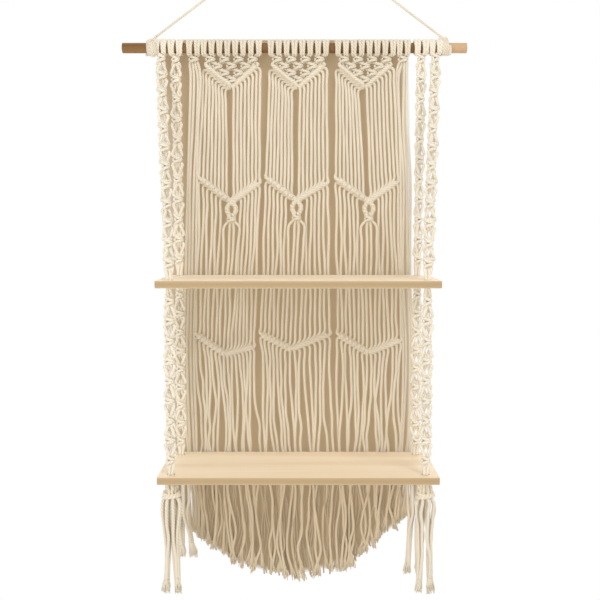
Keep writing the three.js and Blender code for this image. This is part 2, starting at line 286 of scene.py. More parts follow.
def wood_material(name, pale, deep, stretch, grain):
    """Planed wood with its grain along X, and growth lines that wander. Its colour is still to be set."""
    material, tree, shader = new_material(name, WOOD_ROUGHNESS)
    place = node(tree, "ShaderNodeTexCoord").outputs["Object"]
    stretched = node(tree, "ShaderNodeMapping", {"Vector": place, "Scale": stretch}).outputs[0]
    lines = noise(tree, stretched, grain, 6.0, 0.6)
    pores = noise(tree, stretched, grain * PORE_FINENESS, 3.0)
    colour = mix(tree, ramp(tree, lines, *GRAIN_LINES), pale, deep)
    height = maths(tree, "MULTIPLY_ADD", pores, PORE_SHARE, lines)
    bump = node(tree, "ShaderNodeBump", {"Height": height, "Strength": GRAIN_BUMP, "Distance": GRAIN_RELIEF})
    tree.links.new(bump.outputs["Normal"], shader.inputs["Normal"])
    tree.links.new(ramp(tree, pores, 0, 1, *PORE_ROUGHNESS), shader.inputs["Roughness"])
    return material, tree, shader, place, colour


dowel_wood, dowel_tree, dowel_shader, dowel_place, dowel_colour = wood_material(
    "dowel_wood", DOWEL_PALE, DOWEL_DEEP, DOWEL_STRETCH, DOWEL_GRAIN)
along_dowel = node(dowel_tree, "ShaderNodeSeparateXYZ", {0: dowel_place}).outputs[0]
towards_right = ramp(dowel_tree, along_dowel, PALER_FROM, PALER_TO)
dowel_tree.links.new(mix(dowel_tree, towards_right, dowel_colour, PALER_RIGHT_END),
                     dowel_shader.inputs["Base Color"])

rod = bmesh.new()
bmesh.ops.create_cone(rod, cap_ends=True, segments=48, radius1=DOWEL_RADIUS, radius2=DOWEL_RADIUS,
                      depth=DOWEL_ENDS[1] - DOWEL_ENDS[0])
rims = [e for e in rod.edges if len(e.link_faces) == 2 and e.calc_face_angle() > 1]
bmesh.ops.bevel(rod, geom=rims, offset=DOWEL_EASE, offset_type="OFFSET", affect="EDGES", segments=3,
                profile=0.5, material=-1)
bmesh.ops.rotate(rod, verts=rod.verts, cent=(0, 0, 0), matrix=Matrix.Rotation(math.pi / 2, 3, "Y"))
bmesh.ops.translate(rod, verts=rod.verts, vec=((DOWEL_ENDS[0] + DOWEL_ENDS[1]) / 2, 0, DOWEL_Z))


def finish_mesh(name, work, smooth_angle=0.6):
    """An object made of a bmesh, smooth but for its sharp edges."""
    bmesh.ops.recalc_face_normals(work, faces=work.faces)
    for face in work.faces:
        face.smooth = True
    for edge in work.edges:
        edge.smooth = len(edge.link_faces) == 2 and edge.calc_face_angle() < smooth_angle
    mesh = bpy.data.meshes.new(name)
    work.to_mesh(mesh)
    work.free()
    piece = bpy.data.objects.new(name, mesh)
    bpy.context.scene.collection.objects.link(piece)
    return piece


dress(finish_mesh("turned_dowel", rod), dowel_wood, "dowel")


# Boards. Two planed boards of pale wood, their long edges eased with sandpaper, with a bored hole near
# each corner for a rope. Each is sawn from a single plank, so the grain runs along it.
BOARD_PALE = (0.93, 0.81, 0.635)
BOARD_DEEP = (0.84, 0.69, 0.50)
BOARD_SIDE_SHADE = (0.47, 0.345, 0.20)
BOARD_GRAIN = 34.0
BOARD_STRETCH = (0.06, 1.0, 0.8)
BOARD_EASE = 0.0009
HOLE_X = 0.152
HOLE_YS = (-0.121, -0.021)
HOLE_RADIUS = 0.0048
DRILL_DEPTH = 0.03
board_wood, board_tree, board_shader, _, board_colour = wood_material(
    "board_wood", BOARD_PALE, BOARD_DEEP, BOARD_STRETCH, BOARD_GRAIN)
# The sides of each board are painted darker than its top and underside, as painted shade for light that falls
# from above.
facing = node(board_tree, "ShaderNodeNewGeometry").outputs["Normal"]
level_face = maths(board_tree, "ABSOLUTE", node(board_tree, "ShaderNodeSeparateXYZ", {0: facing}).outputs[2])
board_tree.links.new(mix(board_tree, level_face, BOARD_SIDE_SHADE, board_colour), board_shader.inputs["Base Color"])
for board_node in ("upper_board", "lower_board"):
    low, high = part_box(board_node)
    plank = bmesh.new()
    bmesh.ops.create_cube(plank, size=1)
    bmesh.ops.scale(plank, verts=plank.verts, vec=high - low)
    bmesh.ops.translate(plank, verts=plank.verts, vec=(low + high) / 2)
    bmesh.ops.bevel(plank, geom=plank.edges[:], offset=BOARD_EASE, offset_type="OFFSET", affect="EDGES",
                    segments=3, profile=0.5, material=-1)
    solid = finish_mesh(board_node + "_solid", plank)
    drills = bmesh.new()
    for x in (-HOLE_X, HOLE_X):
        for y in HOLE_YS:
            spot = Matrix.Translation((x, y, (low.z + high.z) / 2))
            bmesh.ops.create_cone(drills, cap_ends=True, segments=32, radius1=HOLE_RADIUS,
                                  radius2=HOLE_RADIUS, depth=DRILL_DEPTH, matrix=spot)
    bits = finish_mesh("drills", drills)
    bore = solid.modifiers.new("bore", "BOOLEAN")
    bore.operation = "DIFFERENCE"
    bore.solver = "EXACT"
    bore.object = bits
    bored = bpy.data.meshes.new_from_object(solid.evaluated_get(bpy.context.evaluated_depsgraph_get()))
    bpy.data.objects.remove(solid)
    bpy.data.objects.remove(bits)
    planed = bmesh.new()
    planed.from_mesh(bored)
    dress(finish_mesh("planed_" + board_node, planed), board_wood, board_node)


# Curtain sections. Sixteen cotton strands, eight cords doubled over the dowel, are tied in alternating
# square knots and hitched along three V-shaped bars, with the outermost strands as each bar's core. They
# hang free below, where a few plies have come out of each and hang behind, and end in a brush.
CURTAIN_Y = 0.002
STRANDS = 16
HALF_STRANDS = STRANDS // 2
MIDDLE_STRAND = (STRANDS - 1) / 2
PITCH = 0.0050
SECTION_X = 0.0854
PAIR_CLOSE = 0.0007
WRAP_RADIUS = DOWEL_RADIUS + STRAND_RADIUS + 0.0003
WRAP_TURNS = ((-40, 1.0, 1.0), (0, 1.0, 1.0), (45, 1.03, 0.5), (90, 1.06, 0.1), (135, 1.04, 0.5),
              (180, 1.01, 1.0), (205, 1.02, 1.2))
WRAP_LEAVES_Y = -0.0062
WRAP_LEAVES_DROP = 0.0088
WRAP_LEAVES_CLOSE = 1.3
LOOP_BACK, LOOP_DOWN = 0.62, 0.9
PRESSED = 0.0002
PRESSED_ON_TOP = 0.0006
PRESSED_WITHIN = 0.003
KNOT_ROWS = 4
KNOT_STEP = 0.0180
FIRST_KNOT_DROP = 0.0142
KNOT_ROW_PITCH = 0.0086
KNOT_HALF_HEIGHT = 0.0042
KNOT_CORE = ((0.0017, 0.0003, 1), (0.0016, 0.0006, -1))
KNOT_BARS = ((-5.0, -0.6, 1.0), (-3.2, -3.0, 0.62), (0, -4.3, 0.42), (3.6, -3.2, 0.26), (5.4, -0.4, 0.0),
             (3.6, -3.0, -0.3), (0, -4.3, -0.44), (-3.2, -3.0, -0.66), (-5.0, -0.6, -1.05))
KNOT_LOOP = ((5.0, -0.2, 1.0), (3.6, 2.0, 0.62), (0, 3.6, 0.36), (-3.8, 1.4, 0.24), (-5.9, -2.2, 0.0),
             (-3.8, 1.4, -0.3), (0, 3.6, -0.4), (3.6, 2.0, -0.62), (5.0, -0.2, -1.05))
FIRST_BAR = ((-35, -19.5), (0, -49), (35, -18.5))
BAR_FORWARD = 0.001
BAR_CLEAR = 0.006
CORE_STRAND = 0.0024
CORE_FROM, CORE_TO = 0.02, 0.47
CORE_POINTS = (0, 0.3, 0.65, 1)
CORE_RIDGE = -0.0030
HITCH_RADIUS = 0.0025
HITCH_STRAND = 0.0018
HITCH_TURN = 900
HITCH_STEP = 45
HITCH_FILLS = 0.9
RING_PLACES = (6, 7, 8, 9)
RING_POINTS = 10
RING_HALF_TURNS = 3.5
RING_TWIST = 0.0013
RING_TWIST_DEEP = 1.8
RING_STRAND = 0.0023
RING_NECK, RING_BULGE = 0.0026, 0.0030
RING_SHARP, RING_ROUND = 1.12, 0.7
RING_FORWARD = -0.0036
RING_DROP, RING_HEIGHT = -0.0025, 0.0155
RING_KNOT = {"drop": 0.0222, "forward": -0.0038, "half_height": 0.0032, "width": 0.9}
BELOW_RING_INNER, BELOW_RING_OUTER = 0.0012, 0.0054
BELOW_RING_DROP = -0.0065
PARTED = 0.0062
PARTED_BELOW = 0.6
SPREAD_BELOW_FIRST = 0.0032
DEPTH_LEFT = (0.0030, 0.0014, 0.0010)
DEPTH_RIGHT = (-0.0026, -0.0010, -0.0004)
STRAND_POINTS = 7
STRAND_SWAY = (0.0004, 0.0011)
SWAY_ROUND = 6.28
SWAY_BEATS = (0.8, 1.7)
LIFT_PHASE, LIFT_BEAT = 1.7, 5
FREE_SWAY = 0.6
SWAY_ROUGH, LIFT_ROUGH = 0.2, 0.25
FRINGE_POINTS = 13
FRINGE_SWAY = 0.0052
FRINGE_LIFT = 0.0019
FRINGE_CLUMP = 0.0210
FRINGE_CLUMPED = 0.38
FRINGE_WANDER = 0.0034
FRINGE_DEPTH = 0.003
FRINGE_UNEVEN = (-0.002, 0.011)
FRINGE_BRUSH = 0.0155
FRINGE_EDGE = [(-150, -768), (-120, -798), (-80, -828), (-40, -840), (10, -846), (60, -836), (100, -800),
               (150, -752)]
FRAY_FIBRES = 10
FRAY_LENGTH = 0.0165
FRAY_SPREAD = 0.0044
FRAY_LEVELS = ((0.35, 0.5), (0.7, 0.85))
FRAY_BACK, FRAY_OUT = 0.004, 0.0008
FRAY_TURN = 0.7
FRAY_FLAT = 0.6
FRAY_OUTWARD = (0.25, 1.0)
FRAY_REACH = (0.75, 1.08)
FRAY_OPEN = (0.7, 1.05)
FRAY_RADII = (0.0011, 0.00055)
FRAY_STEP = 0.004
LOOSE_PLIES = 2
PLY_RADIUS = 0.0013
PLY_TAPER = 0.8
PLY_STEP = 0.004
PLY_WANDER = 0.0050
PLY_BACK = (0.0022, 0.0046)
PLY_CLEAR = 0.0016
PLY_UNEVEN = 0.012
PLY_POINTS, PLY_SWAY, PLY_LIFT = 7, 0.0046, 0.0010
UNPLIED_Z = -0.664
LOWER_BOARD_Z = -0.668
# The loose plies are a darker tan cotton, as painted shade for the strands that hang behind the others under
# the lower board.
PLY_SHADE_PALE = (0.60, 0.50, 0.365)
PLY_SHADE_GROOVE = (0.46, 0.375, 0.26)
SECTION_SEED = 40
SECTIONS = {
    "section_left": {
        "middle": -SECTION_X,
        "bars": [((-131, -308), (-86.5, -342), (-48, -315)), ((-137, -511), (-95.5, -540), (-56, -529))],
        "fringe": (-128, -45),
    },
    "section_middle": {
        "middle": 0.0,
        "bars": [((-44, -308), (-2.4, -340), (40, -315)), ((-52, -511), (-8.4, -533), (44, -512))],
        "fringe": (-41, 44),
    },
    "section_right": {
        "middle": SECTION_X,
        "bars": [((46, -309), (91, -341), (131, -313)), ((49, -511), (92.5, -538), (137, -520))],
        "fringe": (48, 132),
    },
}


def pair_close(number):
    """How far a strand draws towards the other one of its pair."""
    return PAIR_CLOSE * (1 if number % 2 == 0 else -1)


def over_dowel(x, close, drop=WRAP_LEAVES_DROP):
    """A strand's way from behind the dowel over its top and down its front. The strands lie evenly on
    top, and lower down each draws towards its pair."""
    route = [Vector((x + close * drawn, math.cos(math.radians(degrees)) * WRAP_RADIUS * out,
                     DOWEL_Z + math.sin(math.radians(degrees)) * WRAP_RADIUS * out))
             for degrees, out, drawn in WRAP_TURNS]
    route.append(Vector((x + close * WRAP_LEAVES_CLOSE, WRAP_LEAVES_Y, DOWEL_Z - drop)))
    return route


def square_knot(role, x, z, y, half_height=KNOT_HALF_HEIGHT, width=1.0):
    """The points of one of a square knot's four strands. Strand 0 makes both front bars, strand 3 the loop
    round it, and strands 1 and 2 run straight through."""
    if role in (1, 2):
        side = -1 if role == 1 else 1
        return [Vector((x + side * out * width, y + back, z + way * half_height))
                for out, back, way in KNOT_CORE]
    path = KNOT_BARS if role == 0 else KNOT_LOOP
    return [Vector((x + px * MM * width, y + py * MM, z + pz * half_height)) for px, py, pz in path]


def thick(point, radius):
    return Vector((*point, radius))


def hitch(at, along, pitch, front_last):
    """A strand's two and a half close turns round the bar's core. It leaves the bar in front of it or
    behind it."""
    up = Vector((-along.z, 0, along.x)) * (1 if along.x > 0 else -1)
    front = Vector((0, -1 if front_last else 1, 0))
    route = []
    for degrees in range(0, HITCH_TURN + 1, HITCH_STEP):
        angle = math.radians(degrees)
        slide = (degrees / HITCH_TURN - 0.5) * pitch * HITCH_FILLS
        spot = (at + along * slide + up * math.cos(angle) * HITCH_RADIUS
                + front * math.sin(angle) * HITCH_RADIUS)
        route.append(thick(spot, HITCH_STRAND))
    return route


def doubled(halves, radius=STRAND_RADIUS):
    """Each two neighbouring strands as one cord, joined by the loop behind the dowel. A cord spreads
    where it is pressed on the dowel, and most on its top."""
    cords = []
    for left, right in zip(halves[::2], halves[1::2]):
        loop = Vector(((left[0].x + right[0].x) / 2, WRAP_RADIUS * LOOP_BACK,
                       DOWEL_Z - WRAP_RADIUS * LOOP_DOWN))
        path, widths = strand([*left[::-1], loop, *right], radius)
        away = np.abs(np.hypot(path[:, 1], path[:, 2] - DOWEL_Z) - WRAP_RADIUS)
        on_top = np.clip((path[:, 2] - DOWEL_Z) / WRAP_RADIUS, 0, 1)
        pressed = np.clip(1 - away / PRESSED_WITHIN, 0, 1) * (PRESSED + PRESSED_ON_TOP * on_top)
        cords.append((path, widths + pressed))
    return cords


def on_bar(bar, share):
    """A point of a V-shaped bar, and the leg that it is on."""
    left, tip, right = (Vector((x * MM, CURTAIN_Y - BAR_FORWARD, z * MM)) for x, z in bar)
    if share < 0.5:
        return left.lerp(tip, share * 2), tip - left
    return tip.lerp(right, share * 2 - 1), right - tip


def ring_knot(tip, role, side, inner):
    """Two twisted strands at each side of a small opening, and a square knot that draws them together."""
    route = []
    for i in range(RING_POINTS + 1):
        share = i / RING_POINTS
        turn = (0 if inner else math.pi) + share * RING_HALF_TURNS * math.pi
        out = RING_NECK + RING_BULGE * math.sin(math.pi * min(1.0, share * RING_SHARP)) ** RING_ROUND
        spot = Vector((side * out + math.cos(turn) * RING_TWIST,
                       RING_FORWARD + math.sin(turn) * RING_TWIST * RING_TWIST_DEEP,
                       RING_DROP - share * RING_HEIGHT))
        route.append(thick(tip + spot, RING_STRAND))
    return route + square_knot(role, tip.x, tip.z - RING_KNOT["drop"], RING_KNOT["forward"],
                               RING_KNOT["half_height"], RING_KNOT["width"])


def fringe_height(x):
    return float(np.interp(x / MM, [p[0] for p in FRINGE_EDGE], [p[1] for p in FRINGE_EDGE])) * MM


def drift(start, end, count, sway, rng, lift=0.0006, free=False):
    """Points between two places on a strand that hangs a little unevenly. One with a free end sways more
    towards it."""
    a, b = Vector(start), Vector(end)
    phase, beats = rng.uniform(0, SWAY_ROUND), rng.uniform(*SWAY_BEATS)
    points = []
    for i in range(1, count + 1):
        share = i / (count + 1)
        calm = share ** FREE_SWAY if free else math.sin(math.pi * share)
        point = a.lerp(b, share)
        point.x += (calm * sway * math.sin(phase + SWAY_ROUND * beats * share)
                    + calm * rng.gauss(0, sway * SWAY_ROUGH))
        point.y += (calm * lift * math.sin(phase * LIFT_PHASE + LIFT_BEAT * share)
                    + rng.gauss(0, lift * LIFT_ROUGH))
        points.append(point)
    return points


def frayed(end, direction, rng, fibres=FRAY_FIBRES, length=FRAY_LENGTH, spread=FRAY_SPREAD):
    """The untwisted end of a strand: bundles of yarn that open like a small brush."""
    brush = []
    for i in range(fibres):
        turn = 2 * math.pi * i / fibres + rng.uniform(0, FRAY_TURN)
        out = Vector((math.cos(turn), FRAY_FLAT * math.sin(turn), 0)) * rng.uniform(*FRAY_OUTWARD)
        reach = length * rng.uniform(*FRAY_REACH)
        points = [end - direction * FRAY_BACK + out * FRAY_OUT]
        points += [end + direction * reach * down + out * spread * opened for down, opened in FRAY_LEVELS]
        points.append(end + direction * reach + out * spread * rng.uniform(*FRAY_OPEN))
        path = smooth_path(points, FRAY_STEP)
        brush.append((path, np.linspace(*FRAY_RADII, len(path))))
    return brush


def loose_plies(hanging_part, rng):
    """Plies that have come out of a strand below the lower board and hang behind it."""
    start = min(hanging_part, key=lambda p: abs(p.z - UNPLIED_Z))
    plies = []
    for _ in range(LOOSE_PLIES):
        x = start.x + rng.gauss(0, PLY_WANDER)
        y = CURTAIN_Y + rng.uniform(*PLY_BACK)
        foot = Vector((x, y, fringe_height(x) + rng.uniform(0.0, PLY_UNEVEN)))
        points = [start, *drift(start, foot, PLY_POINTS, PLY_SWAY, rng, PLY_LIFT, free=True), foot]
        for point in points[1:]:
            point.y = max(point.y, CURTAIN_Y + PLY_CLEAR)
        path = smooth_path(points, PLY_STEP)
        plies.append((path, np.linspace(PLY_RADIUS, PLY_RADIUS * PLY_TAPER, len(path))))
    return plies


def section_cords(row, rng):
    """The sixteen strands of a section, as eight cords doubled over the dowel, with their frayed ends, and
    apart from them the loose plies."""
    middle = row["middle"]
    first = [(middle / MM + x, DOWEL_Z / MM + z) for x, z in FIRST_BAR]
    bars = [first, *row["bars"]]
    halves, fibres, plies = [], [], []
    for number in range(STRANDS):
        route = over_dowel(middle + (number - MIDDLE_STRAND) * PITCH, pair_close(number))
        for knot_row in range(KNOT_ROWS):
            local = number - 2 * knot_row
            if 0 <= local < STRANDS - 4 * knot_row:
                centre = middle + (local // 4 - (KNOT_ROWS - knot_row - 1) / 2) * KNOT_STEP
                height = DOWEL_Z - FIRST_KNOT_DROP - knot_row * KNOT_ROW_PITCH
                route += square_knot(local % 4, centre, height, 0.0)
        place = number
        for level, bar in enumerate(bars):
            left_half = place < HALF_STRANDS
            if place in (0, STRANDS - 1):
                outer, _ = on_bar(bar, CORE_FROM if left_half else 1 - CORE_FROM)
                inner, _ = on_bar(bar, CORE_TO if left_half else 1 - CORE_TO)
                ridge = Vector((0, CORE_RIDGE if left_half and level == 0 else 0.0, 0))
                route += [thick(outer.lerp(inner, t) + ridge, CORE_STRAND) for t in CORE_POINTS]
                place = HALF_STRANDS - 1 if left_half else HALF_STRANDS
            else:
                at, leg = on_bar(bar, (place + 0.5) / STRANDS)
                route += hitch(at, leg.normalized(), leg.length * 2 / STRANDS, not left_half)
                place += -1 if left_half else 1
            share = (place + 0.5) / STRANDS
            depth = (DEPTH_LEFT if left_half else DEPTH_RIGHT)[level]
            parted = -PARTED * (place + 0.5) / HALF_STRANDS if left_half and level == 0 else 0.0
            spread = SPREAD_BELOW_FIRST * (place - MIDDLE_STRAND) / MIDDLE_STRAND if level == 0 else 0.0
            leave, _ = on_bar(bar, share)
            leave = leave + Vector((parted + spread, BAR_FORWARD + depth, -BAR_CLEAR))
            if level + 1 < len(bars):
                reach, _ = on_bar(bars[level + 1], share)
                reach = reach + Vector((parted * PARTED_BELOW, BAR_FORWARD / 2 + depth * 0.5, BAR_CLEAR))
                if level == 1 and place in RING_PLACES:
                    tip, _ = on_bar(bar, 0.5)
                    side = -1 if place < HALF_STRANDS else 1
                    inner_strand = place in RING_PLACES[1:3]
                    out = BELOW_RING_INNER if inner_strand else BELOW_RING_OUTER
                    route += ring_knot(tip, place - RING_PLACES[0], side, inner_strand)
                    leave = route[-1] + Vector((side * out, BAR_FORWARD, BELOW_RING_DROP))
                route += [leave, *drift(leave, reach, STRAND_POINTS, STRAND_SWAY[level], rng), reach]
            else:
                foot = Vector((np.interp(share, (0, 1), row["fringe"]) * MM, CURTAIN_Y, 0))
                to_clump = round(foot.x / FRINGE_CLUMP) * FRINGE_CLUMP - foot.x
                foot.x += FRINGE_CLUMPED * to_clump + rng.gauss(0, FRINGE_WANDER)
                foot.y += rng.uniform(-FRINGE_DEPTH, FRINGE_DEPTH)
                foot.z = fringe_height(foot.x) + FRINGE_BRUSH + rng.uniform(*FRINGE_UNEVEN)
                hanging_part = drift(leave, foot, FRINGE_POINTS, FRINGE_SWAY, rng, FRINGE_LIFT, free=True)
                plies += loose_plies(hanging_part, rng)
                route += [leave, *hanging_part, foot]
                fibres += frayed(foot, (foot - route[-2]).normalized(), rng)
        halves.append(route)
    return doubled(halves) + fibres, plies


# The curtain's cotton is painted darker and tan below the lower board, as painted shade under it.
curtain_cotton = cotton_material("curtain_cotton", COTTON_PALE, COTTON_GROOVE_SHADE, LOWER_BOARD_Z)
# The loose plies get the darker cotton, as painted shade.
combed_cotton = cotton_material("combed_cotton", PLY_SHADE_PALE, PLY_SHADE_GROOVE)
for count, (name, row) in enumerate(SECTIONS.items()):
    cords, plies = section_cords(row, random.Random(SECTION_SEED + count))
    dress(lay_cords("knotted_" + name, cords), curtain_cotton, name)
    dress(lay_cords("combed_plies_" + name, plies, PLY_RADIUS), combed_cotton, name)


# Side strands. Two doubled cords at each side of the curtain, tied together once under the dowel and
# left loose below, to fill the gap beside the sections.
SIDE_X = 0.1338
SIDE_STRANDS = 4
SIDE_ROUTE = [(135, -180), (136, -240), (139.5, -310), (142.5, -430), (146, -545), (143, -650)]
SIDE_PLACES = (0.0038, 0.0004, -0.0054, -0.0088)
SIDE_WANDER_X, SIDE_WANDER_Y = 0.0008, 0.0006
SIDE_END_X = 0.139
SIDE_END_SPREAD = 1.2
SIDE_END_POINTS, SIDE_END_SWAY = 3, 0.002
SIDE_SEED = 70
for count, (name, side) in enumerate((("left", -1), ("right", 1))):
    rng = random.Random(SIDE_SEED + count)
    halves, fibres = [], []
    for number in range(SIDE_STRANDS):
        x = side * SIDE_X + (number - (SIDE_STRANDS - 1) / 2) * PITCH
        route = over_dowel(x, pair_close(number))
        route += square_knot(number, side * SIDE_X, DOWEL_Z - FIRST_KNOT_DROP, 0.0)
        outward = SIDE_PLACES[number if side < 0 else SIDE_STRANDS - 1 - number]
        for out, z in SIDE_ROUTE:
            route.append(Vector((side * (out * MM + outward) + rng.gauss(0, SIDE_WANDER_X),
                                 CURTAIN_Y + rng.gauss(0, SIDE_WANDER_Y), z * MM)))
        foot = Vector((side * (SIDE_END_X + outward * SIDE_END_SPREAD), CURTAIN_Y, 0))
        foot.z = fringe_height(foot.x) + FRINGE_BRUSH
        route += [*drift(route[-1], foot, SIDE_END_POINTS, SIDE_END_SWAY, rng), foot]
        fibres += frayed(foot, (foot - route[-2]).normalized(), rng)
        halves.append(route)
    dress(lay_cords("loose_strands_" + name, doubled(halves) + fibres), curtain_cotton,
          "side_strands_" + name)


# Side ropes. Each is four strands in a sennit of square knots that stand apart, where the outer and the
# inner strands change places between one knot and the next. It opens towards every second knot and
# closes again below it. It goes through the boards, and is drawn together in each hole.
UPPER_TOP, LOWER_TOP, THICKNESS = -0.436, -0.6685, 0.009
# The deep rope colour is painted shade in the grooves between the plies.
ROPE_PALE = (0.93, 0.885, 0.79)
ROPE_GROOVE_SHADE = (0.80, 0.745, 0.64)
ROPE_STRANDS = 4
ROPE_STRAND_RADIUS = 0.00195
ROPE_REPEAT = 0.0248
ROPE_KNOT_HALF = 0.0046
NARROW_KNOT = 0.74
WIDE_KNOT = 0.92
ROPE_CROSSING = 0.0019
ROPE_LOOP_DROP = 0.0074
ROPE_TOP_Y = -0.0005
FIRST_ROPE_KNOT = 0.0144
OPENING_CORE = ((2.6, 0.34), (4.6, 0.54), (6.3, 0.76))
OPENING_TYING = ((4.9, 0.27), (3.9, 0.44), (1.9, 0.68))
CLOSING_CORE = ((1.9, 0.32), (3.9, 0.56), (4.9, 0.73))
CLOSING_TYING = ((6.3, 0.24), (4.6, 0.46), (2.6, 0.66))
BUNDLE = 0.00178
BUNDLED_OVER = 0.003
OVER_UPPER, UNDER_UPPER, OVER_LOWER = 0.008, 0.004, 0.006
ENDS_ABOVE_TASSEL = 0.0005
TWIST_AT, TWIST_OVER = 0.72, 0.2
LAY_WAVE = 5
ROPES = [
    ("front_rope_left", -1, 0.1760, 0.0087, HOLE_YS[0], 0.45, 0.35),
    ("back_rope_left", -1, 0.1568, 0.0106, HOLE_YS[1], -0.15, 0.30),
    ("front_rope_right", 1, 0.1750, 0.0092, HOLE_YS[0], 0.40, -0.45),
    ("back_rope_right", 1, 0.1568, 0.0104, HOLE_YS[1], 0.50, 0.25),
]


def rope_stretch(strands, start, end, turn):
    """Adds to each of the four strands its way from one place to another, knotted all the way. Between
    two knots the strands that tied the first go to the core of the next, across the two that come out."""
    a, b = Vector(start), Vector(end)
    repeats = max(1, round((a - b).length / ROPE_REPEAT))
    rise = (a - b).length / repeats
    for k in range(repeats):
        share = (k + 0.5) / repeats
        centre = a.lerp(b, share)
        spin = Matrix.Rotation(turn(share), 3, "Z")
        opening = k % 2 == 0
        width = NARROW_KNOT if opening else WIDE_KNOT
        for part in range(ROPE_STRANDS):
            side = -1 if part < 2 else 1
            tying = (part in (0, 3)) == opening
            role = (0 if side < 0 else 3) if tying else (1 if side < 0 else 2)
            points = square_knot(role, 0.0, 0.0, 0.0, ROPE_KNOT_HALF, width)
            if k < repeats - 1:
                front = ROPE_CROSSING if tying == opening else -ROPE_CROSSING
                if opening:
                    route = OPENING_TYING if tying else OPENING_CORE
                else:
                    route = CLOSING_TYING if tying else CLOSING_CORE
                points += [Vector((side * out * MM, front, -rise * way)) for out, way in route]
            strands[part] += [centre + spin @ point for point in points]


def bundled(strands, x, y, heights):
    """Adds to each of the four strands its way straight down in a close bundle."""
    for part in range(ROPE_STRANDS):
        across = BUNDLE * (-1 if part < 2 else 1)
        back = BUNDLE * (-1 if part % 2 else 1)
        strands[part] += [Vector((x + across, y + back, z)) for z in heights]


def rope_cords(side, top_x, pitch, hole_y, turn_upper, turn_lower):
    """A rope's four strands as two cords doubled over the dowel, down to the underside of the lower board."""
    halves = [over_dowel(side * top_x + (part - (ROPE_STRANDS - 1) / 2) * pitch / 2, pair_close(part),
                         ROPE_LOOP_DROP) for part in range(ROPE_STRANDS)]
    x = side * HOLE_X
    rope_stretch(halves, (side * top_x, ROPE_TOP_Y, DOWEL_Z - FIRST_ROPE_KNOT + ROPE_REPEAT / 2),
                 (x, hole_y, UPPER_TOP + OVER_UPPER), turn_upper)
    bundled(halves, x, hole_y, (UPPER_TOP + BUNDLED_OVER, UPPER_TOP - THICKNESS / 2,
                                UPPER_TOP - THICKNESS - BUNDLED_OVER))
    rope_stretch(halves, (x, hole_y, UPPER_TOP - THICKNESS - UNDER_UPPER),
                 (x, hole_y, LOWER_TOP + OVER_LOWER), turn_lower)
    bundled(halves, x, hole_y, (LOWER_TOP + BUNDLED_OVER, LOWER_TOP - THICKNESS / 2,
                                LOWER_TOP - THICKNESS + ENDS_ABOVE_TASSEL))
    return doubled(halves, ROPE_STRAND_RADIUS)


rope_cotton = cotton_material("rope_cotton", ROPE_PALE, ROPE_GROOVE_SHADE)
for name, side, top_x, pitch, hole_y, lay_turn, twist in ROPES:
    cords = rope_cords(side, top_x, pitch, hole_y,
                       lambda share: lay_turn + twist * math.exp(-((share - TWIST_AT) / TWIST_OVER) ** 2),
                       lambda share: lay_turn * math.cos(LAY_WAVE * share))
    dress(lay_cords("knotted_" + name, cords), rope_cotton, name)


# Tassels. Under the lower board each rope's strands are tied in an overhand knot that holds the board
# up, and their ends are left hanging and partly untwisted.
TASSELS = [
    ("front_tassel_left", -1, HOLE_YS[0], 0.137, 0.0),
    ("back_tassel_left", -1, HOLE_YS[1], 0.128, 0.006),
    ("front_tassel_right", 1, HOLE_YS[0], 0.137, 0.0),
    ("back_tassel_right", 1, HOLE_YS[1], 0.150, -0.002),
]
TASSEL_STRANDS = 8
TASSEL_STRAND_RADIUS = 0.0020
TASSEL_START = 0.3
TASSEL_WIDE = 1.1
TASSEL_LEVELS = ((0.6, 2.2), (4, 5.2), (11, 5.0), (18, 6.6), (24, 9.2), (35, 10.0), (50, 8.6), (68, 6.8))
TASSEL_WANDER = 0.0005
TASSEL_CLUMP = 0.0046
TASSEL_LOW = -0.092
TASSEL_LOW_WANDER = 0.001
TASSEL_LOW_OUT, TASSEL_END_OUT = 0.0042, 0.0034
TASSEL_LOW_CLUMPED = 0.6
TASSEL_UNEVEN, TASSEL_WAVE = 0.005, 2.4
TASSEL_BRUSH = 0.0150
TASSEL_SPREAD = 0.0044
INNER_LEVELS = ((0.0006, 0.0006), (0.006, 0.0022), (0.018, 0.0026), (0.045, 0.0046))
INNER_LOW_OUT, INNER_LOW_CLUMPED = 0.0010, 0.8
INNER_LONGER = 0.003
INNER_FIBRES, INNER_BRUSH, INNER_SPREAD = 8, 0.0120, 0.0030
TASSEL_BAND = ((13.6, 7.8, 2.3), (17.4, 8.8, 2.4))
BAND_WIDE = 1.08
BAND_TILT, BAND_TILT_STEP = 1.7, 2.2
TASSEL_SEED = 90
